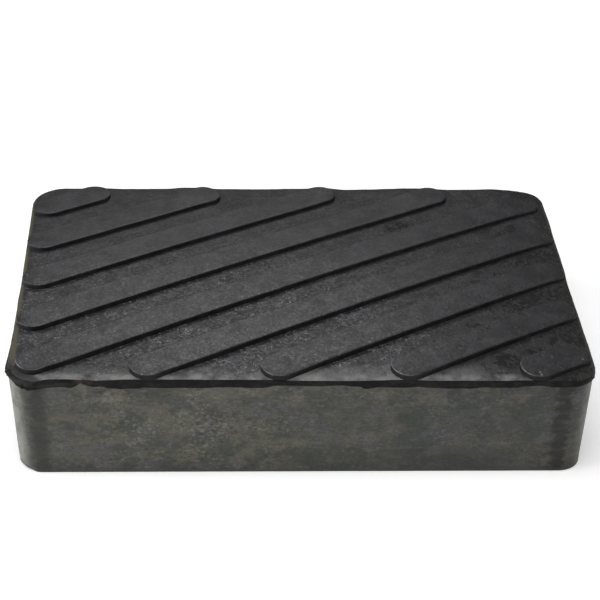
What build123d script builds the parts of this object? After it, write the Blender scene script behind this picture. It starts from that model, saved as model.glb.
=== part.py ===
from build123d import *
from math import cos, radians, sin
import os

os.makedirs("parts", exist_ok=True)

# A solid rubber pad for the arm of a vehicle lift: one moulding with a flat underside,
# a slightly crowned top and low diagonal ribs with round ends.
# Millimetres. The origin is the middle of the underside, X runs along the long side, Z is up.

# Block
pad_length = 150.0
pad_width = 100.0
crown_height = 31.3    # underside to the plate between the ribs, at the middle
end_fall = 0.46        # how far the plate has dropped at the middle of a short end
side_fall = 1.14       # how far it has dropped at the middle of a long side
corner_radius = 6.5
side_draft = 1.4       # degrees, the walls close in towards the underside
underside_radius = 0.8

# Flash, the thin lip that the mould's parting line leaves round the top edge
flash_height = 1.8
flash_proud = 0.3

# Ribs
rib_width = 9.0        # across a rib's top
rib_height = 1.5
rib_draft = 4.0        # degrees, the ribs widen towards the plate
rib_angle = 31.0       # degrees, from the long side
rib_pitch = 17.2       # square to the ribs, centre to centre
rib_offset = -1.4      # the middle rib's distance from the pad's centre, square to the ribs
shortest_rib = 4.0     # centre to centre of its round ends

# From the pad's sides to the centres of the ribs' round ends
inset_short = 4.2
inset_front = 4.1
inset_back = 6.1

# Stock that a cutting shape has beyond the pad
margin = 5.0


def under_crown(height):
    # Everything under a surface that is crowned both ways, with its middle at this height.
    # Each way the surface is a parabola, so its middle control point is as far above
    # the crown as its ends are below it.
    half_length = pad_length / 2 + margin
    half_width = pad_width / 2 + margin
    fall_x = end_fall * (half_length / (pad_length / 2)) ** 2
    fall_y = side_fall * (half_width / (pad_width / 2)) ** 2
    points = [
        [Vector(x, y, height + rise_x + rise_y) for y, rise_y in
            ((-half_width, -fall_y), (0, fall_y), (half_width, -fall_y))]
        for x, rise_x in ((-half_length, -fall_x), (0, fall_x), (half_length, -fall_x))
    ]
    return Solid.extrude(Face.make_bezier_surface(points), Vector(0, 0, -height - margin))


def outline(inset):
    return RectangleRounded(pad_length - 2 * inset, pad_width - 2 * inset, corner_radius - inset)


def walls():
    # The drafted block, from its full size at the top down to the underside.
    top = Pos(0, 0, crown_height) * outline(flash_proud)
    block = extrude(top, crown_height, dir=(0, 0, -1), taper=side_draft)
    return fillet(block.faces().sort_by(Axis.Z)[0].edges(), underside_radius)


def rim():
    # The full outline, from the flash's lower edge to above the ribs.
    tall = extrude(outline(0), crown_height + rib_height + margin)
    return tall - under_crown(crown_height - flash_height)


def rib_plan():
    # Slots on parallel lines, each as long as its line inside the frame that the rib ends keep to.
    frame_length = pad_length - 2 * inset_short
    frame_width = pad_width - inset_front - inset_back
    frame = Pos(0, (inset_front - inset_back) / 2) * RectangleRounded(frame_length, frame_width, corner_radius)
    along = Vector(cos(radians(rib_angle)), sin(radians(rib_angle)))
    across = Vector(-along.Y, along.X)
    reach = pad_length + pad_width
    steps = int(reach / rib_pitch)
    slots = Sketch()
    for step in range(-steps, steps + 1):
        middle = across * (rib_offset + step * rib_pitch)
        inside = Line(middle - along * reach, middle + along * reach) & frame
        if inside and inside.edge().length > shortest_rib:
            line = inside.edge()
            slots += Pos(line.center()) * Rot(0, 0, rib_angle) * SlotCenterToCenter(line.length, rib_width)
    return slots


def ribbed_form():
    # The crowned plate with the ribs on it, wider than the pad. The ribs' tops follow the crown.
    top = Pos(0, 0, crown_height + rib_height) * rib_plan()
    bars = extrude(top, crown_height / 2, dir=(0, 0, -1), taper=-rib_draft)
    return under_crown(crown_height) + (bars & under_crown(crown_height + rib_height))


rubber_pad = (walls() + rim()) & ribbed_form()
rubber_pad.label = "rubber_pad"
export_step(rubber_pad, "parts/rubber_pad.step")
print("volume, cm3:", round(rubber_pad.volume / 1000, 1))
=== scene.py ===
from collections import Counter
from math import atan2, cos, degrees, hypot, pi, radians, sin, tan

import bpy
from mathutils import Matrix, Vector, noise


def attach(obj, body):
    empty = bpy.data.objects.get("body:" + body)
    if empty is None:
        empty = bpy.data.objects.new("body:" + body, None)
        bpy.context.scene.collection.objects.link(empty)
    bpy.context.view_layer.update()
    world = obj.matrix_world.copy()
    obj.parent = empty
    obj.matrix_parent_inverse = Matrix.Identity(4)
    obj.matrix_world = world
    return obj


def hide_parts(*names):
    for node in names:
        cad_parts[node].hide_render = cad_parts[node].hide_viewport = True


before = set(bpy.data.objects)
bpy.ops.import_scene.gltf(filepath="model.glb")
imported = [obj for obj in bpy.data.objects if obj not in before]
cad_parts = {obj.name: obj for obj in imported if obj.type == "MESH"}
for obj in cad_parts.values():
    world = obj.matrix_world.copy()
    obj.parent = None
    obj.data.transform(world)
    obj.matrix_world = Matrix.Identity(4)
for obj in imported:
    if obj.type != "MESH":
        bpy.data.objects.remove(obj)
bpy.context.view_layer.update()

# A moulded rubber pad for a lift arm. Metres, with the middle of the underside at the origin,
# X along the long side and Z up. One mesh stands for the whole CAD node.

mm = 0.001
tiny = 0.01 * mm        # places closer than this count as the same
axisX, axisY, axisZ = (1.0, 0.0, 0.0), (0.0, 1.0, 0.0), (0.0, 0.0, 1.0)
flatter = (1.0, 1.0, 2.0)       # stretches a pattern along a wall


# Selecting and editing, as by hand

def takeOnly(piece):
    if bpy.context.object and bpy.context.object.mode != "OBJECT":
        bpy.ops.object.mode_set(mode="OBJECT")
    bpy.ops.object.select_all(action="DESELECT")
    bpy.context.view_layer.objects.active = piece
    piece.select_set(True)


def pick(piece, kind, test):
    # leaves the piece in edit mode with only the places that pass the test selected
    takeOnly(piece)
    bpy.ops.object.mode_set(mode="EDIT")
    bpy.ops.mesh.select_mode(type=kind)
    bpy.ops.mesh.select_all(action="DESELECT")
    bpy.ops.object.mode_set(mode="OBJECT")
    mesh = piece.data
    if kind == "VERT":
        for vertex in mesh.vertices:
            vertex.select = test(vertex.co)
    elif kind == "EDGE":
        for edge in mesh.edges:
            edge.select = test(*(mesh.vertices[i].co for i in edge.vertices))
    else:
        for face in mesh.polygons:
            face.select = test(face.center, face.normal)
    bpy.ops.object.mode_set(mode="EDIT")


def cutAcross(piece, places, direction):
    # a row of cuts right through the piece, each square to the direction
    takeOnly(piece)
    bpy.ops.object.mode_set(mode="EDIT")
    for place in places:
        bpy.ops.mesh.select_all(action="SELECT")
        bpy.ops.mesh.bisect(plane_co=Vector(direction) * place, plane_no=direction)
    bpy.ops.object.mode_set(mode="OBJECT")


def evenly(low, high, step):
    count = max(1, round((high - low) / step))
    return [low + (high - low) * i / count for i in range(count + 1)]


def clamp(value):
    return max(0.0, min(1.0, value))


def ease(value, start, full):
    # 0 at the start, 1 where it is full, and a soft change between them
    value = clamp((value - start) / (full - start))
    return value * value * (3 - 2 * value)


def along(points, place):
    # the value at a place on a line of (place, value) points, eased between them
    if place <= points[0][0]:
        return points[0][1]
    for (before, low), (after, high) in zip(points, points[1:]):
        if place <= after:
            return low + (high - low) * ease(place, before, after)
    return points[-1][1]


# The block, with its drafted walls and the lip that the mould's parting line left

pad = {
    "length": 150.0 * mm,
    "width": 100.0 * mm,
    "height": 31.3 * mm,       # to the plate between the ribs, at the middle
    "endFall": 0.46 * mm,      # how far the crowned plate drops towards the short ends
    "sideFall": 1.14 * mm,     # and towards the long sides
    "draft": radians(1.4),
    "cornerRadius": 6.2 * mm,
    "backLeftRadius": 9.3 * mm,
    "cornerSegments": 10,
    "footRadius": 0.4 * mm,
    "footSegments": 4,
    "lipProud": 0.3 * mm,
    "lipDepth": 1.8 * mm,
    "lipRow": 0.6 * mm,        # spacing of the mesh up the lip
    "wallRow": 1.6 * mm,       # up the walls
    "cell": 1.0 * mm,          # and on the top and round the walls
}


def makeBlock():
    half = Vector((pad["length"], pad["width"])) / 2 - Vector((1, 1)) * pad["lipProud"]
    height = pad["height"]
    bpy.ops.object.select_all(action="DESELECT")
    box = (2 * half.x, 2 * half.y, height)
    bpy.ops.mesh.primitive_cube_add(size=1, location=(0, 0, height / 2), scale=box)
    block = bpy.context.object
    block.name = block.data.name = "ribbedPad"
    bpy.ops.object.transform_apply(location=True, rotation=True, scale=True)

    for sideX in (-1, 1):
        for sideY in (-1, 1):
            radius = pad["backLeftRadius"] if (sideX, sideY) == (-1, 1) else pad["cornerRadius"]
            pick(block, "EDGE", lambda a, b: min(a.x * sideX, b.x * sideX) > half.x - tiny
                 and min(a.y * sideY, b.y * sideY) > half.y - tiny)
            bpy.ops.mesh.bevel(offset=radius, segments=pad["cornerSegments"], affect="EDGES")

    # the draft and the rounded foot
    pick(block, "FACE", lambda centre, normal: normal.z < -0.9)
    inward = height * tan(pad["draft"])
    bpy.ops.transform.resize(value=(1 - inward / half.x, 1 - inward / half.y, 1), center_override=(0, 0, 0))
    pick(block, "EDGE", lambda a, b: max(a.z, b.z) < tiny)
    bpy.ops.mesh.bevel(offset=pad["footRadius"], segments=pad["footSegments"], affect="EDGES")

    # the lip
    underLip = height - pad["lipDepth"]
    cutAcross(block, [underLip], axisZ)
    pick(block, "FACE", lambda centre, normal: centre.z > underLip and abs(normal.z) < 0.5)
    bpy.ops.mesh.extrude_region_move()
    grow = (1 + pad["lipProud"] / half.x, 1 + pad["lipProud"] / half.y, 1)
    bpy.ops.transform.resize(value=grow, center_override=(0, 0, 0))

    # a mesh that is fine enough for the waves and the ragged edge
    cutAcross(block, evenly(underLip, height, pad["lipRow"])[1:-1], axisZ)
    cutAcross(block, evenly(3 * pad["footRadius"], underLip, pad["wallRow"])[:-1], axisZ)
    for size, direction in ((pad["length"], axisX), (pad["width"], axisY)):
        cutAcross(block, evenly(-size / 2, size / 2, pad["cell"])[1:-1], direction)
    print("block:", len(block.data.polygons), "faces")
    return block


# The ribs: one bar with round ends, copied to each line and cut to its length

rib = {
    "width": 9.4 * mm,
    "height": 1.5 * mm,
    "root": 0.3 * mm,          # how deep a bar stands in the block before they are joined
    "draft": radians(4),
    "angle": radians(31),
    "pitch": 17.2 * mm,
    "offset": -1.2 * mm,       # the middle rib's distance from the pad's centre
    "linesEachWay": 6,         # lines that are tried on each side of the middle one
    "lineStep": 0.05 * mm,
    "shortest": 4.0 * mm,
    "insetLeft": 4.85 * mm,    # from the pad's sides to the centres of the round ends
    "insetRight": 5.3 * mm,
    "insetFront": 4.5 * mm,
    "insetBack": 6.3 * mm,
    "frameRadius": 6.5 * mm,
    "backRightRadius": 9.0 * mm,
    # by the rib's number from the front right corner, how far its start and its end are moved along its line
    "moved": {6: (0.0, 0.6 * mm), 8: (0.3 * mm, 1.4 * mm)},
    "edge": 0.22 * mm,         # the rounding of the top's edge
    "edgeSegments": 3,
    "topInset": 0.35 * mm,     # a loop inside the top's edge, which keeps the rounding even
    "arcPoints": 40,
    "cell": 1.5 * mm,
    "cutsTo": 2.82 * mm,       # how far from its middle line a rib has cuts along it
    "mergeWithin": 0.004 * mm,
    # the top's edge is worn pale and painted with a highlight where it faces left, in the front part of the
    # pad
    "edgeWearAndHighlight": {"share": 0.8, "facesUp": 0.98, "facesLeft": 0.3, "front": -30.0 * mm},
}


def insideFrame(place):
    middleY = (rib["insetFront"] - rib["insetBack"]) / 2
    radius = rib["backRightRadius"] if place.x > 0 and place.y > middleY else rib["frameRadius"]
    inset = rib["insetRight"] if place.x > 0 else rib["insetLeft"]
    halfX = pad["length"] / 2 - inset - radius
    halfY = (pad["width"] - rib["insetFront"] - rib["insetBack"]) / 2 - radius
    overX = max(abs(place.x) - halfX, 0)
    overY = max(abs(place.y - middleY) - halfY, 0)
    return hypot(overX, overY) < radius


def ribLines():
    # each line's two ends inside the frame that the round ends keep to
    direction = Vector((cos(rib["angle"]), sin(rib["angle"])))
    across = Vector((-direction.y, direction.x))
    reach = pad["length"]
    step = rib["lineStep"]
    lines = []
    for count in range(-rib["linesEachWay"], rib["linesEachWay"] + 1):
        middle = across * (rib["offset"] + count * rib["pitch"])
        inside = [i * step for i in range(int(-reach / step), int(reach / step))
                  if insideFrame(middle + direction * i * step)]
        if inside and inside[-1] - inside[0] > rib["shortest"]:
            lines.append((middle + direction * inside[0], middle + direction * inside[-1]))
    for index, (startBy, endBy) in rib["moved"].items():
        start, end = lines[index]
        lines[index] = (start + direction * startBy, end + direction * endBy)
    return lines


def makeBar():
    radius = rib["width"] / 2
    top = pad["height"] + rib["height"]
    depth = rib["height"] + rib["root"]
    bpy.ops.object.select_all(action="DESELECT")
    bpy.ops.mesh.primitive_cylinder_add(
        vertices=rib["arcPoints"], radius=radius, depth=depth, location=(0, 0, top - depth / 2),
        rotation=(0, 0, pi / rib["arcPoints"]))
    bar = bpy.context.object
    bpy.ops.object.transform_apply(location=True, rotation=True, scale=True)
    pick(bar, "FACE", lambda centre, normal: normal.z < -0.9)
    spread = 1 + depth * tan(rib["draft"]) / radius
    bpy.ops.transform.resize(value=(spread, spread, 1), center_override=(0, 0, 0))
    pick(bar, "EDGE", lambda a, b: min(a.z, b.z) > top - tiny)
    bpy.ops.mesh.bevel(offset=rib["edge"], segments=rib["edgeSegments"], affect="EDGES")
    pick(bar, "FACE", lambda centre, normal: normal.z > 0.99)
    bpy.ops.mesh.inset(thickness=rib["topInset"])
    bpy.ops.object.mode_set(mode="OBJECT")
    return bar


def makeRibs():
    bar = makeBar()
    ribs = []
    for start, end in ribLines():
        copy = bar.copy()
        copy.data = bar.data.copy()
        bpy.context.collection.objects.link(copy)
        length = (end - start).length
        pick(copy, "VERT", lambda co: co.x > 0)
        bpy.ops.transform.translate(value=(length, 0, 0))
        cutAcross(copy, evenly(0, length, rib["cell"]), axisX)
        cutAcross(copy, evenly(-rib["cutsTo"], rib["cutsTo"], rib["cell"]), axisY)
        copy.rotation_euler.z = rib["angle"]
        copy.location = (start.x, start.y, 0)
        ribs.append(copy)
    print("ribs:", len(ribs))
    bpy.data.objects.remove(bar)
    takeOnly(ribs[0])
    for piece in ribs:
        piece.select_set(True)
    bpy.ops.object.join()
    takeOnly(ribs[0])
    bpy.ops.object.transform_apply(location=True, rotation=True, scale=True)
    return ribs[0]


def dissolveTwoEdgeCorners(piece):
    # at a corner where only two edges meet, two triangles could fall on each other
    bpy.ops.mesh.select_all(action="DESELECT")
    bpy.ops.object.mode_set(mode="OBJECT")
    meeting = Counter(index for edge in piece.data.edges for index in edge.vertices)
    for vertex in piece.data.vertices:
        vertex.select = meeting[vertex.index] == 2
    bpy.ops.object.mode_set(mode="EDIT")
    bpy.ops.mesh.dissolve_verts()


def joinRibs(block, ribs):
    takeOnly(block)
    union = block.modifiers.new("ribs", "BOOLEAN")
    union.operation = "UNION"
    union.solver = "EXACT"
    union.object = ribs
    bpy.ops.object.modifier_apply(modifier=union.name)
    bpy.data.objects.remove(ribs)
    pick(block, "VERT", lambda co: True)
    bpy.ops.mesh.remove_doubles(threshold=rib["mergeWithin"])
    dissolveTwoEdgeCorners(block)
    bpy.ops.object.mode_set(mode="OBJECT")
    print("joined:", len(block.data.polygons), "faces")


# The crown, the rolled edges and the ragged lip

shape = {
    # each edge of the top: how far it is rolled down, and from how far in
    "rolls": {"front": (0.35 * mm, 5.5 * mm), "back": (0.1 * mm, 3.0 * mm),
              "left": (0.3 * mm, 2.4 * mm), "right": (0.4 * mm, 6.0 * mm)},
    "frontRiseMargin": 7.0 * mm,
    "backRiseStart": 30.0 * mm,
    "ribFade": 0.4,                # how much lower the ribs are at the right end
    "ribFadeMargin": 28.0 * mm,
    "ribFadeFront": 0.5,           # and the share of that at the front
    "backFade": 0.24,              # how much lower they are at the back
    "backFadeStart": -50.0 * mm,
    "backFadeEnd": 45.0 * mm,
    "topInside": 0.1 * mm,         # how far the ribs' ends stay inside the lip
    "ribOverhang": 0.3 * mm,       # how much further their front ends stand out
    "lipTopShare": 0.3,            # how much of the lip's unevenness its top edge has
    "swell": 0.05 * mm, "swellSize": 14 * mm,           # slow waves in the moulded faces
    "ripple": 0.018 * mm, "rippleSize": 3.5 * mm,
    "wallWaves": 1.5,              # how much stronger both are on the walls
    "calmFoot": 2.0 * mm,          # and the height where they start there
    "tipTurn": 2.5,                # what a millimetre of the front edge counts for in degrees, in tipReach
    "tipDroop": 0.1 * mm,          # how far the torn tip at the front left corner hangs
    "facesFront": (0.2, 0.7),      # how far a wall faces the front to take its lists, at all and in full
    "facesLeft": 0.9,
    "squareToFront": 0.999,
    "leftPart": -60.0 * mm,        # the left end, where the lip and the wall have their own shape
    "bowStart": 60.0 * mm,         # the right end, which bows out
    "wallReach": 3.0 * mm,         # how far in from the outline the walls may lie
    "leanReach": 1.5 * mm,
    "leanLength": 40.0 * mm,       # the left wall leans more and more over this length towards the front
    "rimOut": 0.5 * mm,            # how far it stands out there at the lip
    "wallOut": 1.05 * mm,          # right under the lip
    "wallIn": 0.2 * mm,            # and how far it stands in at the foot
    "cornerCut": 0.5 * mm,         # how far the foot of the front left corner is cut back
    "cornerCutHeight": 4.0 * mm,
}

# How uneven the lip is: shares of its size, with the length and the seed of each wave
lipWaves = {
    "hang": ((0.25, 6 * mm, 3), (0.2, 2 * mm, 4)),
    "proud": ((0.5, 5 * mm, 6), (0.35, 1.5 * mm, 7)),
    "front": ((0.1, 2 * mm, 5),),
    "left": ((0.15, 2 * mm, 5),),
}

# What follows was read off the real pad. Each list gives places and sizes in millimetres.

# How far the front edge stands above the crown, by X, and how far the lip hangs from there
frontRise = [
    (-73, 0.1), (-69, 0.2), (-65, 0.75), (-61, 0.75), (-57, 0.5), (-53, 0.2), (-50, 0.35), (-46, 0.55),
    (-40, 0.45), (-30, 0.42), (-25, 0.3), (-8, 0.25), (-2, 0.0), (2, -0.1), (14, -0.1), (19, 0.05),
    (23, 0.3), (28, 0.25), (32, 0.1), (50, 0.12), (56, 0.3), (62, 0.3), (68, 0.2), (73, 0.05)]
lipHang = [
    (-68.5, 2.45), (-67, 2.2), (-65, 2.1), (-59.5, 2.3), (-58.3, 2.2), (-57.4, 0.7), (-56.6, 1.3),
    (-55, 2.0), (-52, 2.0), (-49, 2.8), (-46.5, 3.0), (-43, 2.9), (-40.7, 2.5), (-31, 2.65), (-19, 2.5),
    (-11, 2.7), (-7, 1.8), (2, 1.8), (9.8, 1.5), (13.8, 1.9), (15.7, 2.65), (19, 2.2), (22.5, 2.5),
    (28, 2.3), (39, 2.6), (43, 2.5), (45.5, 2.1), (50, 2.2), (53.5, 2.25), (57, 1.9), (61, 1.65),
    (64, 2.0), (70, 1.8), (75, 1.4)]

# How far its lower edge leans out there
lipLean = [
    (-73, 0.0), (-70, 0.4), (-66, 0.6), (-60, 0.55), (-56, 0.1), (-50, 0.0), (40, 0.0), (66, 0.25),
    (72, 0.1)]

# Round the front left corner, by degrees from the left side: how far it hangs and stands out
tipHang = [(0, 0.5), (25, 0.8), (45, 1.5), (60, 2.4), (75, 2.6), (90, 2.45)]
tipReach = [(0, 0.9), (15, 1.0), (30, 0.9), (45, 0.6), (60, 0.45), (75, 0.3), (90, 0.2), (100, 0.0)]

# The same along the left side, by Y
leftHang = [(-43.5, 0.5), (-36, 1.3), (-25, 1.8)]
leftReach = [(-43.5, 0.9), (-38, 0.6), (-32, 0.25), (-15, 0.12), (0, 0.0)]

# How far the right side bows out, by Y, and how far the back edge stands above the crown, by X
rightBow = [
    (-50, 0.45), (-37, 0.42), (-25, 0.2), (-13, 0.0), (-4, -0.15), (3, 0.15), (12, 0.22), (21, 0.2),
    (30, 0.4), (50, 0.35)]
backRise = [
    (-72, 0.0), (-68, 0.2), (-62, 0.1), (-59, 0.15), (-54, 0.15), (-49, -0.05), (-36, 0.0), (-31, 0.4),
    (-26, 0.4), (-21, 0.0), (-10, -0.1), (3, 0.15), (11, 0.45), (17, -0.05), (24, 0.1), (30, 0.35),
    (35, 0.6), (41, 0.6), (48, 0.3), (55, 0.45), (61, 0.7), (65, 0.45), (70, 0.0)]


def wave(place, size, seed):
    return noise.noise(place / size + Vector((seed, 2.3 * seed, 5.1 * seed)))


def uneven(place, name):
    # 1, more or less, by the lip's waves of that name
    return 1 + sum(share * wave(place, size, seed) for share, size, seed in lipWaves[name])


def outward(co):
    # the outline's outward direction at a place, and how far past the walls it is
    radius = pad["backLeftRadius"] if co.x < 0 < co.y else pad["cornerRadius"]
    halfX = pad["length"] / 2 - pad["lipProud"] - radius
    halfY = pad["width"] / 2 - pad["lipProud"] - radius
    over = Vector((max(abs(co.x) - halfX, 0), max(abs(co.y) - halfY, 0)))
    distance = over.length - radius
    if over.length < tiny:
        return Vector((0, 0, 0)), distance
    over.normalize()
    return Vector((over.x * (1 if co.x > 0 else -1), over.y * (1 if co.y > 0 else -1), 0)), distance


def lipAt(co, normal):
    # at a place on the outline: how far the lip hangs, how proud it is, how far its lower edge leans out,
    # and how far all of it stands out
    hang = pad["lipDepth"] * uneven(co, "hang")
    front = ease(-normal.y, *shape["facesFront"])
    hang += front * (along(lipHang, co.x / mm) * mm * uneven(co, "front") - hang)
    lean = front * along(lipLean, co.x / mm) * mm
    reach = 0.0
    if co.x < shape["leftPart"] and co.y < 0:
        cornerX = pad["cornerRadius"] + pad["lipProud"] - pad["length"] / 2
        cornerY = pad["cornerRadius"] + pad["lipProud"] - pad["width"] / 2
        if co.y > cornerY:
            hang = along(leftHang, co.y / mm) * mm * uneven(co, "left")
            if -normal.x > shape["facesLeft"]:
                reach = along(leftReach, co.y / mm) * mm
        elif -normal.y < shape["squareToFront"]:
            angle = degrees(atan2(-normal.y, -normal.x))
            hang = along(tipHang, angle) * mm * uneven(co, "left")
            reach = along(tipReach, angle) * mm
        else:
            reach = along(tipReach, 90 + shape["tipTurn"] * (co.x - cornerX) / mm) * mm
    return hang, uneven(co, "proud"), lean, reach


def formLip(new, co, normal, past, atRim):
    # gives the lip its ragged form, and stretches the wall under it to meet it
    height, hang = pad["height"], pad["lipDepth"]
    depth, proud, lean, reach = lipAt(Vector((co.x, co.y, 0)), normal)
    if not atRim:
        new.z = co.z * (height - depth) / (height - hang)
        return
    share = clamp((height - co.z) / hang)
    new.z = height - share * depth
    if past > tiny:
        topShare = shape["lipTopShare"]
        standing = clamp(past / pad["lipProud"])
        new += normal * (past * (proud - 1) * (topShare + (1 - topShare) * share) + lean * share)
        new += normal * reach * standing
        new.z -= shape["tipDroop"] * min(1, reach / mm) * standing


def leanLeft(new, co, normal, atRim):
    # leans the left wall out towards the front, and cuts back the foot of its corner
    lower = co.z / pad["height"]
    leftward = ease(-normal.x, 0, 0.5)
    leanOut = shape["rimOut"] if atRim else shape["wallOut"]
    leanOut = leanOut * lower - shape["wallIn"] * (1 - lower)
    new.x -= clamp(-co.y / shape["leanLength"]) * leftward * leanOut
    corner = leftward * ease(-normal.y, 0, 0.5)
    new -= normal * corner * shape["cornerCut"] * clamp(1 - co.z / shape["cornerCutHeight"]) ** 2


def dropAt(x, y):
    # how far the crown and the rolled, uneven edges lower the top
    halfX, halfY = pad["length"] / 2, pad["width"] / 2
    drop = pad["endFall"] * (x / halfX) ** 2 + pad["sideFall"] * (y / halfY) ** 2
    for side, distance in (("front", y + halfY), ("back", halfY - y),
                           ("left", x + halfX), ("right", halfX - x)):
        roll, margin = shape["rolls"][side]
        drop += roll * clamp(1 - distance / margin) ** 2
    drop -= along(backRise, x / mm) * mm * ease(y, shape["backRiseStart"], halfY)
    drop -= along(frontRise, x / mm) * mm * ease(y + halfY, shape["frontRiseMargin"], 0)
    return drop


def ribLoss(x, y):
    # how much of its height a rib loses there, towards the right end and towards the back
    frontShare = shape["ribFadeFront"]
    fade = ease(pad["length"] / 2 - x, shape["ribFadeMargin"], 0)
    fade *= clamp(frontShare + (1 - frontShare) * (y / pad["width"] + 0.5))
    backward = ease(y, shape["backFadeStart"], shape["backFadeEnd"])
    return max(shape["ribFade"] * fade, shape["backFade"] * backward)


def formed(co):
    # where a place on the plain, flat pad lies on the finished one
    x, y, z = co
    height, hang = pad["height"], pad["lipDepth"]
    normal, past = outward(co)
    new = co.copy()
    atRim = -tiny < past < pad["lipProud"] + tiny and height - hang - tiny < z < height + tiny

    # nothing on the top overhangs the lip
    overhang = past - pad["lipProud"] + shape["topInside"]
    if -normal.y > shape["facesFront"][1]:
        overhang -= shape["ribOverhang"] * clamp((z - height) / rib["height"])
    if z > height - rib["root"] - tiny and overhang > 0 and not atRim:
        new -= normal * overhang

    if atRim or (past > -shape["wallReach"] and tiny < z < height - hang + tiny):
        formLip(new, co, normal, past, atRim)
    if x < shape["leftPart"] and past > -shape["leanReach"] and z < height - tiny:
        leanLeft(new, co, normal, atRim)
    new.x += along(rightBow, y / mm) * mm * ease(x, shape["bowStart"], pad["length"] / 2)
    new.z -= clamp(z / height) * dropAt(x, y)
    if z > height:
        new.z -= (z - height) * ribLoss(x, y)

    # slow waves, up on the top and outward on the walls
    lift = shape["swell"] * wave(co, shape["swellSize"], 1)
    lift += shape["ripple"] * wave(co, shape["rippleSize"], 2)
    if z > height - tiny:
        new.z += lift
    elif z > shape["calmFoot"]:
        new += normal * lift * shape["wallWaves"]
    return new


def formPad(block):
    for vertex in block.data.vertices:
        vertex.co = formed(vertex.co)
    block.data.update()
    print("formed:", sum(len(face.vertices) - 2 for face in block.data.polygons), "triangles")


# Nodes, with their sockets set or linked

def feed(tree, socket, value):
    if isinstance(value, bpy.types.NodeSocket):
        tree.links.new(value, socket)
    elif socket.type == "RGBA":
        socket.default_value = (*value, 1.0)
    else:
        socket.default_value = value


def mathNode(tree, operation, *values):
    node = tree.nodes.new("ShaderNodeMath")
    node.operation = operation
    for socket, value in zip(node.inputs, values):
        feed(tree, socket, value)
    return node.outputs[0]


def times(tree, first, *others):
    for other in others:
        first = mathNode(tree, "MULTIPLY", first, other)
    return first


def rangeNode(tree, value, low, high, toLow=0.0, toHigh=1.0, easing="SMOOTHSTEP"):
    node = tree.nodes.new("ShaderNodeMapRange")
    node.interpolation_type = easing
    for label, source in (("Value", value), ("From Min", low), ("From Max", high),
                          ("To Min", toLow), ("To Max", toHigh)):
        feed(tree, node.inputs[label], source)
    return node.outputs[0]


def spread(tree, mask, low, high):
    # brings a mask of 0 to 1 to low and high
    return rangeNode(tree, mask, 0.0, 1.0, low, high)


def noiseNode(tree, place, scale, seed, detail=2.0, roughness=0.5):
    # a soft cloud, another one for each seed
    node = tree.nodes.new("ShaderNodeTexNoise")
    node.noise_dimensions = "4D"
    for label, value in (("Vector", place), ("Scale", scale), ("W", seed), ("Detail", detail),
                         ("Roughness", roughness)):
        feed(tree, node.inputs[label], value)
    return node.outputs[0]


def objectPlace(tree):
    return tree.nodes.new("ShaderNodeTexCoord").outputs["Object"]


def blendColour(tree, mask, under, over, strength=1.0, mode="MIX"):
    # lays a colour over another where the mask is
    if strength != 1.0:
        mask = times(tree, mask, strength)
    mix = tree.nodes.new("ShaderNodeMix")
    mix.data_type = "RGBA"
    mix.blend_type = mode
    feed(tree, mix.inputs["Factor"], mask)
    feed(tree, mix.inputs[6], under)       # A and B as colours: other sockets have the same names
    feed(tree, mix.inputs[7], over)
    return mix.outputs[2]


# The node groups. Each is made once and placed in the materials with their own values.

groups = {}


def newGroup(name, inputs, outputs=("Mask",)):
    # an input is a number, a vector of three or a colour of four
    group = bpy.data.node_groups.new(name, "ShaderNodeTree")
    groups[name] = group
    for label, value in inputs.items():
        form = "NodeSocketFloat"
        if isinstance(value, tuple):
            form = "NodeSocketColor" if len(value) == 4 else "NodeSocketVector"
        group.interface.new_socket(name=label, in_out="INPUT", socket_type=form).default_value = value
    for label in outputs:
        form = "NodeSocketColor" if label == "Colour" else "NodeSocketFloat"
        group.interface.new_socket(name=label, in_out="OUTPUT", socket_type=form)
    return group, group.nodes.new("NodeGroupInput").outputs, group.nodes.new("NodeGroupOutput").inputs


def placeGroup(tree, name, **values):
    # a space in a socket's name is an underscore here
    node = tree.nodes.new("ShaderNodeGroup")
    node.node_tree = groups[name]
    for label, value in values.items():
        feed(tree, node.inputs[label.replace("_", " ")], value)
    return node.outputs


def effect(tree, name, **values):
    return placeGroup(tree, name, **values)[0]


def makeMottleGroup():
    # soft patches: 0 to 1 over the surface, stretched along the axes by Stretch
    group, given, out = newGroup("mottle", {
        "Stretch": (1.0, 1.0, 1.0), "Scale": 100.0, "Detail": 3.0, "Low": 0.35, "High": 0.65, "Seed": 0.0})
    mapping = group.nodes.new("ShaderNodeMapping")
    feed(group, mapping.inputs["Vector"], objectPlace(group))
    feed(group, mapping.inputs["Scale"], given["Stretch"])
    cloud = noiseNode(group, mapping.outputs[0], given["Scale"], given["Seed"], given["Detail"], 0.6)
    feed(group, out["Mask"], rangeNode(group, cloud, given["Low"], given["High"]))


def makeFlecksGroup():
    # small ragged marks, kept to patches
    group, given, out = newGroup("flecks", {
        "Stretch": (1.0, 1.0, 1.0), "Scale": 900.0, "Low": 0.5, "High": 0.64, "Patch Scale": 150.0,
        "Patch Low": 0.45, "Patch High": 0.56, "Seed": 0.0})
    marks = effect(group, "mottle", Scale=given["Scale"], Detail=3.0, Low=given["Low"], High=given["High"],
                   Stretch=given["Stretch"], Seed=given["Seed"])
    patches = effect(group, "mottle", Scale=given["Patch Scale"], Detail=2.0, Low=given["Patch Low"],
                     High=given["Patch High"], Seed=mathNode(group, "ADD", given["Seed"], 0.5))
    feed(group, out["Mask"], times(group, marks, patches))


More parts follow.
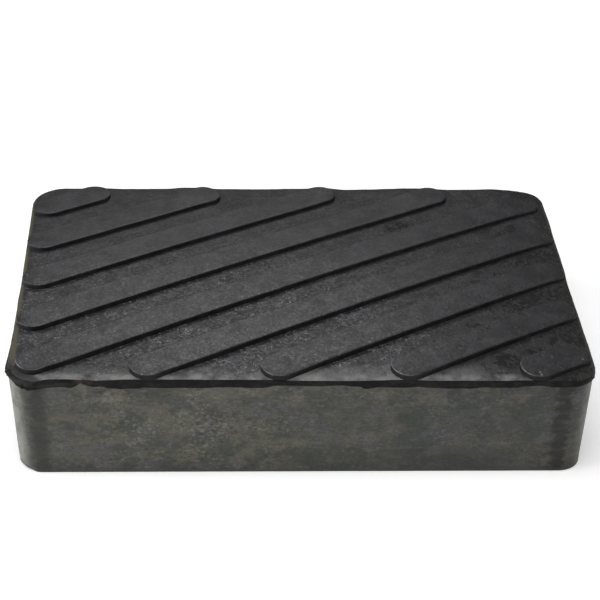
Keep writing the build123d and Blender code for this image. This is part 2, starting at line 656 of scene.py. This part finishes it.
def makeSpeckleGroup():
    # small separate spots, a share of the cells, kept to patches
    group, given, out = newGroup("speckle", {
        "Scale": 900.0, "Size": 0.3, "Share": 0.5, "Patch Scale": 120.0, "Patch Low": 0.5, "Patch High": 0.7,
        "Seed": 0.0})
    place = objectPlace(group)
    cells = group.nodes.new("ShaderNodeTexVoronoi")
    cells.voronoi_dimensions = "4D"
    for label, value in (("Vector", place), ("Scale", given["Scale"]), ("W", given["Seed"])):
        feed(group, cells.inputs[label], value)
    spot = rangeNode(group, cells.outputs["Distance"], given["Size"], 0.05)
    parts = group.nodes.new("ShaderNodeSeparateColor")
    feed(group, parts.inputs[0], cells.outputs["Color"])
    chosen = mathNode(group, "LESS_THAN", parts.outputs[0], given["Share"])
    patch = noiseNode(group, place, given["Patch Scale"], given["Seed"])
    where = rangeNode(group, patch, given["Patch Low"], given["Patch High"])
    feed(group, out["Mask"], times(group, spot, chosen, where))


def makeArcGroup():
    # thin curved marks, where a soft cloud passes its middle value, kept to patches
    group, given, out = newGroup("arcs", {
        "Scale": 300.0, "Width": 0.02, "Patch Scale": 200.0, "Patch Low": 0.5, "Patch High": 0.6,
        "Seed": 0.0})
    place = objectPlace(group)
    cloud = noiseNode(group, place, given["Scale"], given["Seed"], 1.0)
    away = mathNode(group, "ABSOLUTE", mathNode(group, "SUBTRACT", cloud, 0.5))
    line = rangeNode(group, away, given["Width"], 0.0)
    patch = noiseNode(group, place, given["Patch Scale"], given["Seed"], 1.0)
    where = rangeNode(group, patch, given["Patch Low"], given["Patch High"])
    feed(group, out["Mask"], times(group, line, where))


def makeZoneGroup():
    # 0 to 1 along a direction across the piece
    group, given, out = newGroup("zone", {"Direction": (1.0, 0.0, 0.0), "Start": 0.0, "End": 0.01})
    dot = group.nodes.new("ShaderNodeVectorMath")
    dot.operation = "DOT_PRODUCT"
    feed(group, dot.inputs[0], objectPlace(group))
    feed(group, dot.inputs[1], given["Direction"])
    feed(group, out["Mask"], rangeNode(group, dot.outputs["Value"], given["Start"], given["End"]))


def makeSpotGroup():
    # 1 round a centre, 0 from Reach on
    group, given, out = newGroup("spot", {"Centre": (0.0, 0.0, 0.0), "Reach": 0.005})
    away = group.nodes.new("ShaderNodeVectorMath")
    away.operation = "DISTANCE"
    feed(group, away.inputs[0], objectPlace(group))
    feed(group, away.inputs[1], given["Centre"])
    core = times(group, given["Reach"], 0.4)
    feed(group, out["Mask"], rangeNode(group, away.outputs["Value"], given["Reach"], core))


def makeGrainGroup():
    # the moulded skin's fine height: grain and shallow dimples
    group, given, out = newGroup("grain", {
        "Scale": 1400.0, "Dimples": 0.4, "Dimple Scale": 450.0}, ("Height",))
    place = objectPlace(group)
    fine = group.nodes.new("ShaderNodeTexNoise")
    fine.inputs["Detail"].default_value = 4.0
    cells = group.nodes.new("ShaderNodeTexVoronoi")
    cells.feature = "SMOOTH_F1"
    for texture, scale in ((fine, "Scale"), (cells, "Dimple Scale")):
        feed(group, texture.inputs["Vector"], place)
        feed(group, texture.inputs["Scale"], given[scale])
    dimple = times(group, cells.outputs["Distance"], given["Dimples"])
    feed(group, out["Height"], mathNode(group, "ADD", fine.outputs[0], dimple))


# Where each strip and patch lies: a direction, and the places along it where it starts and where it is full
zones = {
    "dustFront": ((0.1, 1.0, 0.0), 0.035, -0.04),       # the dust is thickest towards the front left
    "dustLeft": (axisX, 0.055, 0.01),
    "pitted": ((1.0, -0.25, 0.0), 0.035, 0.065),
    "tinted": (axisX, 0.068, 0.0745),
    # dust and painted sheen along the front edge, and wear with a brighter painted sheen at its very end
    "edgeDustAndSheen": (axisY, -0.0425, -0.0478),              # along the front edge
    "edgeDustAndSheenEnd": (axisX, 0.060, 0.030),
    "edgeDustAndSheenStart": (axisX, -0.02, 0.01),
    "wornEdgeAndSheen": (axisY, -0.0468, -0.0490),
    "wornEdgeAndSheenEnd": (axisX, 0.064, 0.05),
    # painted shade in the front left corner, under the rib's end
    "frontLeft": ((-0.7, -0.7, 0.0), 0.0805, 0.0825),
    "leftStrip": ((1.0, 0.003, 0.0), -0.0737, -0.0746),
    "stripEnd": (axisY, -0.0440, -0.0385),
    "rightStrip": (axisX, 0.0744, 0.075),
    "crumbs": ((0.86, -0.5, 0.0), 0.0725, 0.0745),      # the end of the front right rib
    "grittyStart": (axisX, -0.058, -0.045),             # the middle of the front wall's left half
    "grittyEnd": (axisX, 0.0, -0.015),
    "underLip": (axisZ, 0.0262, 0.028),
    "frontHalf": (axisY, 0.0, -0.03),
    "rightFade": (axisX, -0.01, 0.05),
    "lowWall": ((-0.05, 0.0, 1.0), 0.009, 0.002),
    "foot": (axisZ, 0.0015, 0.0002),
    "flapTop": (axisZ, 0.0296, 0.0290),                 # the torn flap at the front left
    "flapUnder": (axisZ, 0.0276, 0.0286),
    "flapEnd": (axisX, -0.056, -0.061),
    "brownStart": (axisX, -0.0535, -0.0550),
    "brownEnd": (axisX, -0.059, -0.057),
}


def zoneAlong(tree, direction, start, end):
    return effect(tree, "zone", Direction=direction, Start=start, End=end)


def zone(tree, name):
    return zoneAlong(tree, *zones[name])


topFinish = {
    "deep": (0.010, 0.010, 0.011),
    "pit": (0.003, 0.003, 0.003),
    "plate": (0.023, 0.023, 0.026),
    "dusty": (0.062, 0.062, 0.066),
    "rib": (0.015, 0.015, 0.017),
    "ribWorn": (0.027, 0.027, 0.030),
    "edgeHighlightUnder": (0.035, 0.035, 0.037),
    "edgeHighlightOver": (0.16, 0.16, 0.165),
    "speck": (0.22, 0.22, 0.23),
    # the front edge's dust and painted sheen, and its pale wear with painted sheen
    "edgeDustAndSheen": (0.12, 0.12, 0.12),
    "wornEdgeAndSheen": (0.20, 0.20, 0.195),
    "olive": (0.066, 0.061, 0.038),
    "tint": (0.020, 0.021, 0.012),
    "rim": (0.036, 0.036, 0.030),
    "grainShade": (0.4, 0.4, 0.4),
    "platePits": -2.5,         # how deep the pits are beside the grain
    "ribPits": -4.0,
    "pitRoughness": 0.55,
    "ribDirt": 0.48,           # how much of the plate's dirt the ribs have
}

# Dark blotches on the top, read off the real pad: X, Y and reach in millimetres
blotches = ((31, 25.5, 6), (54.5, 26.5, 5), (64, 9, 8), (69.5, 10.5, 6), (59, -14.6, 8), (66.5, -10.5, 9),
            (73, -29.5, 9), (53.5, -42, 5), (73.5, -45, 6))


def makeDirtGroup():
    # what the plate and the ribs' tops have in common: patches, a tint, grain, dust, arcs, specks and pits.
    # Share says how strong it all is.
    group, given, out = newGroup("topDirt", {
        "Under": (*topFinish["deep"], 1.0), "Over": (*topFinish["plate"], 1.0), "Seed": 20.0, "Share": 1.0},
        ("Colour", "Grain", "Dust", "Pits"))
    share = given["Share"]
    seeds = [mathNode(group, "ADD", given["Seed"], float(i)) for i in range(7)]
    cloudy = effect(group, "mottle", Scale=190.0, Detail=3.0, Low=0.4, High=0.6, Seed=seeds[0])
    colour = blendColour(group, cloudy, given["Under"], given["Over"])
    tinted = effect(group, "mottle", Scale=260.0, Detail=4.0, Low=0.46, High=0.58, Seed=seeds[6])
    colour = blendColour(group, times(group, zone(group, "tinted"), tinted), colour, topFinish["tint"], 0.8)
    grain = effect(group, "mottle", Scale=1300.0, Detail=2.0, Low=0.42, High=0.58, Seed=seeds[1])
    strength = mathNode(group, "MULTIPLY_ADD", share, 0.5, 0.5)
    colour = blendColour(group, grain, colour, topFinish["grainShade"], strength, "MULTIPLY")

    dusty = times(group, zone(group, "dustFront"), zone(group, "dustLeft"))
    dust = effect(group, "flecks", Scale=900.0, Low=0.52, High=0.64, Patch_Scale=170.0, Patch_Low=0.4,
                  Patch_High=0.56, Seed=seeds[2])
    cover = times(group, dust, spread(group, dusty, 0.22, 1.0))
    strength = mathNode(group, "MULTIPLY_ADD", share, 0.7, 0.3)
    colour = blendColour(group, cover, colour, topFinish["dusty"], strength)
    arcs = effect(group, "arcs", Scale=620.0, Width=0.03, Patch_Scale=240.0, Patch_Low=0.5, Patch_High=0.58,
                  Seed=seeds[3])
    arcs = times(group, arcs, dusty)
    colour = blendColour(group, arcs, colour, topFinish["speck"], times(group, share, 0.5))
    for scale, size, patchScale, strength in ((1900.0, 0.62, 200.0, 0.75), (1100.0, 0.5, 330.0, 1.0)):
        specks = effect(group, "speckle", Scale=scale, Size=size, Share=0.4, Patch_Scale=patchScale,
                        Patch_Low=0.48, Patch_High=0.6, Seed=seeds[0])
        specks = times(group, specks, spread(group, dusty, 0.05, 1.0))
        colour = blendColour(group, specks, colour, topFinish["speck"], times(group, share, strength))

    pits = effect(group, "flecks", Scale=440.0, Low=0.51, High=0.57, Patch_Scale=140.0, Patch_Low=0.45,
                  Patch_High=0.56, Seed=seeds[4])
    pits = times(group, pits, spread(group, zone(group, "pitted"), 0.12, 1.0))
    ragged = effect(group, "mottle", Scale=850.0, Detail=4.0, Low=0.45, High=0.56, Seed=seeds[5])
    for x, y, reach in blotches:
        near = effect(group, "spot", Centre=(x * mm, y * mm, pad["height"]), Reach=reach * mm)
        pits = mathNode(group, "MAXIMUM", pits, times(group, near, ragged))
    pits = times(group, pits, share)
    colour = blendColour(group, pits, colour, topFinish["pit"])
    for label, value in (("Colour", colour), ("Grain", grain), ("Dust", dust), ("Pits", pits)):
        feed(group, out[label], value)


# Materials

def newMaterial(name, specular):
    material = bpy.data.materials.new(name)
    material.use_nodes = True
    shader = material.node_tree.nodes["Principled BSDF"]
    shader.inputs["Specular IOR Level"].default_value = specular
    return material, material.node_tree, shader


def dress(tree, shader, colour, rough, height, distance, strength):
    bump = tree.nodes.new("ShaderNodeBump")
    bump.inputs["Strength"].default_value = strength
    bump.inputs["Distance"].default_value = distance
    feed(tree, bump.inputs["Height"], height)
    for label, value in (("Base Color", colour), ("Roughness", rough), ("Normal", bump.outputs[0])):
        feed(tree, shader.inputs[label], value)


def roughTop(tree, dirt, rough, byGrain):
    # the grain and the pits are duller than the rest
    rough = mathNode(tree, "MULTIPLY_ADD", dirt["Grain"], byGrain, rough)
    return mathNode(tree, "MULTIPLY_ADD", dirt["Pits"], topFinish["pitRoughness"], rough)


def makePlateMaterial():
    material, tree, shader = newMaterial("plateRubber", 0.5)
    dirt = placeGroup(tree, "topDirt", Under=topFinish["deep"], Over=topFinish["plate"], Seed=20.0,
                      Share=1.0)
    colour = dirt["Colour"]

    # dust and a painted sheen along the front edge, which is also worn pale, with a brighter painted sheen,
    # at its very end
    edge = effect(tree, "mottle", Scale=120.0, Detail=6.0, Low=0.3, High=0.62, Seed=15.0)
    fromLeft = spread(tree, zone(tree, "edgeDustAndSheenStart"), 0.3, 0.85)
    edge = times(tree, edge, zone(tree, "edgeDustAndSheen"), zone(tree, "edgeDustAndSheenEnd"), fromLeft)
    colour = blendColour(tree, edge, colour, topFinish["edgeDustAndSheen"])
    worn = effect(tree, "mottle", Scale=160.0, Detail=4.0, Low=0.35, High=0.6, Seed=26.0)
    worn = times(tree, worn, zone(tree, "wornEdgeAndSheen"), zone(tree, "wornEdgeAndSheenEnd"))
    colour = blendColour(tree, worn, colour, topFinish["wornEdgeAndSheen"], 0.7)

    # painted shade of the rib's end and the fold in the front left corner, and the strips along the short
    # sides
    # painted shade: the corner is darkened towards the deep colour
    corner = zone(tree, "frontLeft")
    colour = blendColour(tree, corner, colour, topFinish["deep"], 0.85)
    strip = times(tree, zone(tree, "leftStrip"), zone(tree, "stripEnd"))
    colour = blendColour(tree, strip, colour, topFinish["olive"])
    colour = blendColour(tree, zone(tree, "rightStrip"), colour, topFinish["rim"])

    rough = effect(tree, "mottle", Scale=400.0, Detail=4.0, Low=0.35, High=0.65, Seed=5.0)
    rough = roughTop(tree, dirt, spread(tree, rough, 0.37, 0.47), 0.12)
    rough = mathNode(tree, "MULTIPLY_ADD", corner, 0.3, rough)
    skin = effect(tree, "grain", Scale=1300.0, Dimples=0.5, Dimple_Scale=700.0)
    skin = mathNode(tree, "MULTIPLY_ADD", dirt["Pits"], topFinish["platePits"], skin)
    skin = mathNode(tree, "MULTIPLY_ADD", dirt["Dust"], 0.5, skin)
    dress(tree, shader, colour, rough, skin, 0.1 * mm, 0.7)
    return material


def makeRibMaterial(name, under, over):
    material, tree, shader = newMaterial(name, 0.5)
    dirt = placeGroup(tree, "topDirt", Under=under, Over=over, Seed=30.0, Share=topFinish["ribDirt"])
    crumbs = effect(tree, "speckle", Scale=750.0, Size=0.4, Share=0.35, Patch_Scale=330.0, Patch_Low=0.42,
                    Patch_High=0.56, Seed=33.0)
    crumbs = times(tree, crumbs, zone(tree, "crumbs"))
    colour = blendColour(tree, crumbs, dirt["Colour"], topFinish["speck"], 0.8)
    rough = effect(tree, "mottle", Scale=300.0, Detail=4.0, Low=0.35, High=0.65, Seed=6.0)
    rough = roughTop(tree, dirt, spread(tree, rough, 0.36, 0.42), 0.07)
    skin = effect(tree, "grain", Scale=1500.0, Dimples=0.35, Dimple_Scale=800.0)
    skin = mathNode(tree, "MULTIPLY_ADD", dirt["Pits"], topFinish["ribPits"], skin)
    dress(tree, shader, colour, rough, skin, 0.08 * mm, 0.5)
    return material


sideFinish = {
    "base": (0.076, 0.077, 0.065),
    "warm": (0.120, 0.112, 0.083),
    "blue": (0.098, 0.096, 0.112),
    "green": (0.060, 0.066, 0.052),
    "yellow": (0.165, 0.150, 0.105),
    "pale": (0.20, 0.20, 0.185),
    "dark": (0.025, 0.026, 0.022),
    "foot": (0.045, 0.046, 0.040),
    # the dark of the painted shade and the stain
    "shadeAndStain": (0.012, 0.012, 0.010),
    # the pale of the corners, wear and a painted highlight
    "corner": (0.32, 0.32, 0.285),
    "grainShade": (0.72, 0.72, 0.72),
    "rightShade": (0.78, 0.79, 0.81),
    "lowShade": (0.78, 0.78, 0.78),
    "flat": (1.0, 1.0, 1.6),        # stretches the patches along the wall
    "shadeAndStainReach": 4.0 * mm,
    # dark stretches beside the front corners, painted shade at the left one and a stain at the right one: X
    # of the middle, tilt with the draft, strength and raggedness
    "shadeAndStains": ((-67.6 * mm, 0.02, 0.7, 0.4), (66.8 * mm, -0.02, 0.95, 0.9)),
    # the outermost part of each front corner, worn pale and painted with a highlight: direction, start,
    # where it is full, and strength
    "cornerWearAndHighlight": (((-0.9, -0.43, -0.06), 0.0837, 0.0858, 0.72),
                    ((0.966, -0.259, -0.024), 0.0812, 0.0836, 0.6)),
}


def bloomWall(tree):
    # the bloomed skin: warm, blue and green patches, pale streaks and grain
    flat = sideFinish["flat"]
    warm = effect(tree, "mottle", Scale=55.0, Detail=3.0, Low=0.38, High=0.62, Stretch=flat, Seed=21.0)
    colour = blendColour(tree, warm, sideFinish["base"], sideFinish["warm"])
    blue = effect(tree, "mottle", Scale=110.0, Detail=2.0, Low=0.5, High=0.62, Stretch=flat, Seed=7.0)
    colour = blendColour(tree, blue, colour, sideFinish["blue"], 0.7)
    for scale, seed, strength in ((140.0, 10.0, 0.8), (60.0, 24.0, 1.0)):
        green = effect(tree, "mottle", Scale=scale, Detail=3.0, Low=0.5, High=0.58, Stretch=(1.0, 1.0, 1.3),
                       Seed=seed)
        colour = blendColour(tree, green, colour, sideFinish["green"], strength)
    streaks = effect(tree, "mottle", Scale=200.0, Detail=5.0, Low=0.52, High=0.66, Stretch=(1.0, 1.0, 3.5),
                     Seed=9.0)
    colour = blendColour(tree, streaks, colour, sideFinish["pale"], 0.25)
    grain = effect(tree, "mottle", Scale=1300.0, Detail=2.0, Low=0.42, High=0.58, Stretch=flat, Seed=17.0)
    return blendColour(tree, grain, colour, sideFinish["grainShade"], mode="MULTIPLY"), streaks


def fleckWall(tree, colour):
    # flecks, thickest in the gritty part, and a yellowish line under the lip, which is a painted highlight
    gritty = times(tree, zone(tree, "grittyStart"), zone(tree, "grittyEnd"))
    gritty = spread(tree, gritty, 0.5, 1.0)
    for finish, scale, seed, strength in (("yellow", 800.0, 11.0, 0.9), ("pale", 1000.0, 12.0, 0.75),
                                          ("dark", 600.0, 13.0, 0.8)):
        marks = effect(tree, "flecks", Scale=scale, Low=0.5, High=0.64, Patch_Scale=100.0, Patch_Low=0.47,
                       Patch_High=0.58, Stretch=(1.0, 1.0, 1.5), Seed=seed)
        colour = blendColour(tree, times(tree, marks, gritty), colour, sideFinish[finish], strength)
    # painted highlight: a pale yellowish line on the wall right under the lip
    line = effect(tree, "mottle", Scale=150.0, Detail=4.0, Low=0.45, High=0.6, Seed=14.0)
    return blendColour(tree, times(tree, line, zone(tree, "underLip")), colour, sideFinish["yellow"], 0.5)


def shadeAndStainWall(tree, colour):
    # a darker, ragged stretch beside each front corner, painted shade at the left one and a stain at the
    # right one, and painted shade on the right end
    reach = sideFinish["shadeAndStainReach"]
    ragged = effect(tree, "mottle", Scale=330.0, Detail=6.0, Low=0.3, High=0.7, Stretch=flatter, Seed=16.0)
    for middle, tilt, strength, raggedness in sideFinish["shadeAndStains"]:
        across = (1.0, 0.0, tilt)
        shadeAndStain = times(tree, zone(tree, "frontHalf"),
                      zoneAlong(tree, across, middle - reach, middle - 0.1 * reach),
                      zoneAlong(tree, across, middle + reach, middle + 0.1 * reach))
        shadeAndStain = mathNode(tree, "MULTIPLY_ADD", ragged, raggedness, shadeAndStain)
        shadeAndStain = rangeNode(tree, shadeAndStain, 0.6 * raggedness, 1.1 + 0.4 * raggedness)
        colour = blendColour(tree, shadeAndStain, colour, sideFinish["shadeAndStain"], strength)
    # painted shade: the right end of the wall is darkened
    return blendColour(tree, zone(tree, "rightFade"), colour, sideFinish["rightShade"], mode="MULTIPLY")


def wearAndHighlightWall(tree, colour):
    # the front corners, worn pale and painted with a highlight, and the darker foot
    worn = effect(tree, "mottle", Scale=260.0, Detail=5.0, Low=0.3, High=0.6, Stretch=(1.0, 1.0, 0.8),
                  Seed=22.0)
    worn = spread(tree, worn, 0.3, 1.0)
    for across, start, end, strength in sideFinish["cornerWearAndHighlight"]:
        mask = times(tree, worn, zoneAlong(tree, across, start, end))
        colour = blendColour(tree, mask, colour, sideFinish["corner"], strength)
    colour = blendColour(tree, zone(tree, "lowWall"), colour, sideFinish["lowShade"], mode="MULTIPLY")
    return blendColour(tree, zone(tree, "foot"), colour, sideFinish["foot"], 0.8)


def makeSideMaterial():
    material, tree, shader = newMaterial("bloomedRubber", 0.5)
    colour, streaks = bloomWall(tree)
    colour = wearAndHighlightWall(tree, shadeAndStainWall(tree, fleckWall(tree, colour)))
    rough = effect(tree, "mottle", Scale=250.0, Detail=4.0, Low=0.3, High=0.7, Seed=18.0)
    skin = effect(tree, "grain", Scale=1400.0, Dimples=0.4, Dimple_Scale=700.0)
    skin = mathNode(tree, "ADD", skin, streaks)
    dress(tree, shader, colour, spread(tree, rough, 0.38, 0.55), skin, 0.08 * mm, 0.6)
    return material


plainFinish = {
    # fresh black rubber on the ribs' walls, darkened further as painted shade
    "shadedCleanRubber": {
        "specular": 0.2, "patches": {"Scale": 400.0, "Detail": 4.0, "Low": 0.35, "High": 0.7, "Seed": 12.0},
        "under": (0.009, 0.009, 0.010), "over": (0.019, 0.019, 0.020), "rough": (0.5, 0.65), "bump": 0.6},
    "undersideRubber": {
        "specular": 0.5, "patches": {"Scale": 60.0, "Detail": 6.0, "Low": 0.35, "High": 0.65, "Seed": 13.0},
        "under": (0.035, 0.035, 0.033), "over": (0.055, 0.055, 0.050), "rough": (0.55, 0.65), "bump": 0.7},
}


def makePlainMaterial(name):
    finish = plainFinish[name]
    material, tree, shader = newMaterial(name, finish["specular"])
    patches = effect(tree, "mottle", **finish["patches"])
    colour = blendColour(tree, patches, finish["under"], finish["over"])
    skin = effect(tree, "grain", Scale=1200.0)
    dress(tree, shader, colour, spread(tree, patches, *finish["rough"]), skin, 0.1 * mm, finish["bump"])
    return material


lipFinish = {
    "torn": (0.005, 0.005, 0.005),
    "worn": (0.022, 0.022, 0.020),
    "flap": (0.026, 0.026, 0.025),
    "brown": (0.085, 0.055, 0.042),
    "olive": (0.060, 0.054, 0.040),
}


def makeLipMaterial():
    # the torn edge: black, greyer on the flap at the front left, brown at its end, olive along the left side
    material, tree, shader = newMaterial("tornLip", 0.15)
    patches = effect(tree, "mottle", Scale=350.0, Detail=5.0, Low=0.4, High=0.7, Stretch=flatter, Seed=19.0)
    colour = blendColour(tree, patches, lipFinish["torn"], lipFinish["worn"])
    flap = effect(tree, "mottle", Scale=400.0, Detail=4.0, Low=0.4, High=0.55, Stretch=(0.5, 0.5, 2.0),
                  Seed=25.0)
    flap = times(tree, flap, zone(tree, "flapTop"), zone(tree, "flapUnder"), zone(tree, "flapEnd"))
    colour = blendColour(tree, flap, colour, lipFinish["flap"], 0.9)
    brown = times(tree, patches, zone(tree, "brownStart"), zone(tree, "brownEnd"))
    colour = blendColour(tree, brown, colour, lipFinish["brown"], 0.75)
    olive = times(tree, spread(tree, patches, 0.2, 1.0), zone(tree, "leftStrip"),
                  zone(tree, "stripEnd"))
    colour = blendColour(tree, olive, colour, lipFinish["olive"], 0.8)
    skin = mathNode(tree, "ADD", effect(tree, "grain", Scale=1200.0), patches)
    dress(tree, shader, colour, spread(tree, patches, 0.5, 0.65), skin, 0.15 * mm, 0.8)
    return material


def finishFor(centre, normal):
    # which finish a face of the flat, unformed pad takes
    height = pad["height"]
    ribTop = height + rib["height"]
    pale = rib["edgeWearAndHighlight"]
    onEdge = centre.z > ribTop - pale["share"] * rib["edge"] and normal.z < pale["facesUp"]
    # the worn edge that carries a painted highlight
    if onEdge and -normal.x > pale["facesLeft"] and centre.y < pale["front"]:
        return "ribEdgeWearAndHighlight"
    if centre.z > ribTop - rib["edge"] - tiny:
        return "rib"
    if centre.z > height + tiny:
        return "ribWall"
    if centre.z > height - tiny and normal.z > 0.3:
        return "plate"
    if centre.z > height - pad["lipDepth"] - tiny:
        return "lip"
    if centre.z < tiny:
        return "underside"
    return "side"


def paintFaces(block):
    for makeGroup in (makeMottleGroup, makeFlecksGroup, makeSpeckleGroup, makeArcGroup, makeZoneGroup,
                      makeSpotGroup, makeGrainGroup, makeDirtGroup):
        makeGroup()
    finishes = {
        "plate": makePlateMaterial(),
        "rib": makeRibMaterial("ribRubber", topFinish["rib"], topFinish["ribWorn"]),
        "ribWall": makePlainMaterial("shadedCleanRubber"),
        "side": makeSideMaterial(),
        "underside": makePlainMaterial("undersideRubber"),
        "lip": makeLipMaterial(),
        # worn and painted with a highlight
        "ribEdgeWearAndHighlight": makeRibMaterial("ribEdgeWearAndHighlight", topFinish["edgeHighlightUnder"], topFinish["edgeHighlightOver"]),
    }
    for material in finishes.values():
        block.data.materials.append(material)
    order = list(finishes)
    for face in block.data.polygons:
        face.material_index = order.index(finishFor(face.center, face.normal))
    print("materials:", ", ".join(material.name for material in finishes.values()))


# The camera, the floor and the light

camera = {
    "place": (-30.165 * mm, -445.19 * mm, 302.90 * mm),
    "down": radians(32.141),
    "turn": radians(-4.038),
    "roll": radians(2.275),
    "lens": 113.7,
}

studio = {
    "floorSize": 6.0,
    "world": 0.06,
    "floor": 0.8,
    "floorGlow": 0.32,         # what only the camera sees: more light on the floor, white far from the pad
    "glowStart": 0.2,
    "glowEnd": 1.2,
    "lamps": (
        # name, place, target, width, height, watts
        ("overhead", (-0.1, -0.2, 1.1), (0, 0, 0.03), 0.9, 0.7, 10.0),
        ("back", (-0.018, 0.45, 0.445), (-0.02, -0.01, 0.03), 0.26, 0.2, 0.5),
        ("left", (-0.75, -0.05, 0.3), (-0.03, 0, 0.02), 0.6, 0.5, 4.2),
        ("frontLeft", (-0.5, -0.9, 0.35), (-0.03, 0, 0.02), 0.6, 0.4, 1.2),
        ("right", (0.8, -0.15, 0.3), (0.03, 0, 0.02), 0.6, 0.5, 0.8),
    ),
}


def addCamera():
    data = bpy.data.cameras.new("camera")
    data.lens = camera["lens"]
    data.clip_start = 0.01
    view = bpy.data.objects.new("camera", data)
    bpy.context.collection.objects.link(view)
    turn = Matrix.Rotation(camera["turn"], 4, "Z")
    tilt = Matrix.Rotation(pi / 2 - camera["down"], 4, "X")
    roll = Matrix.Rotation(camera["roll"], 4, "Z")
    view.matrix_world = Matrix.Translation(camera["place"]) @ turn @ tilt @ roll
    bpy.context.scene.camera = view


def addFloor():
    bpy.ops.object.select_all(action="DESELECT")
    bpy.ops.mesh.primitive_plane_add(size=studio["floorSize"])
    floor = bpy.context.object
    floor.name = "floor"
    material, tree, shader = newMaterial("paleFloor", 0.0)
    feed(tree, shader.inputs["Base Color"], [studio["floor"]] * 3)
    feed(tree, shader.inputs["Roughness"], 0.9)
    feed(tree, shader.inputs["Emission Color"], (1, 1, 1))
    away = tree.nodes.new("ShaderNodeVectorMath")
    away.operation = "LENGTH"
    feed(tree, away.inputs[0], objectPlace(tree))
    away = away.outputs["Value"]
    glow = rangeNode(tree, away, studio["glowStart"], studio["glowEnd"], studio["floorGlow"])
    path = tree.nodes.new("ShaderNodeLightPath")
    feed(tree, shader.inputs["Emission Strength"], times(tree, path.outputs["Is Camera Ray"], glow))
    floor.data.materials.append(material)


def addLamps():
    for name, place, target, width, height, watts in studio["lamps"]:
        data = bpy.data.lights.new(name, "AREA")
        data.shape = "RECTANGLE"
        data.size = width
        data.size_y = height
        data.energy = watts
        lamp = bpy.data.objects.new(name, data)
        bpy.context.collection.objects.link(lamp)
        lamp.location = place
        lamp.rotation_euler = (Vector(target) - Vector(place)).to_track_quat("-Z", "Y").to_euler()


def addWorld():
    # dim for the light, white for the camera
    world = bpy.data.worlds.new("studio")
    bpy.context.scene.world = world
    world.use_nodes = True
    tree = world.node_tree
    background = tree.nodes["Background"]
    path = tree.nodes.new("ShaderNodeLightPath")
    strength = rangeNode(tree, path.outputs["Is Camera Ray"], 0.0, 1.0, studio["world"], 1.0, "LINEAR")
    feed(tree, background.inputs["Strength"], strength)
    feed(tree, background.inputs["Color"], (1, 1, 1))


def makePad():
    block = makeBlock()
    joinRibs(block, makeRibs())
    paintFaces(block)
    formPad(block)
    takeOnly(block)
    bpy.ops.object.shade_smooth_by_angle(angle=radians(36))
    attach(block, "root")
    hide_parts("rubber_pad")


def makeStudio():
    addFloor()
    addLamps()
    addWorld()
    addCamera()
    bpy.context.scene.view_settings.view_transform = "Standard"
    print("studio: floor, camera and", len(studio["lamps"]), "lamps")


makePad()
makeStudio()
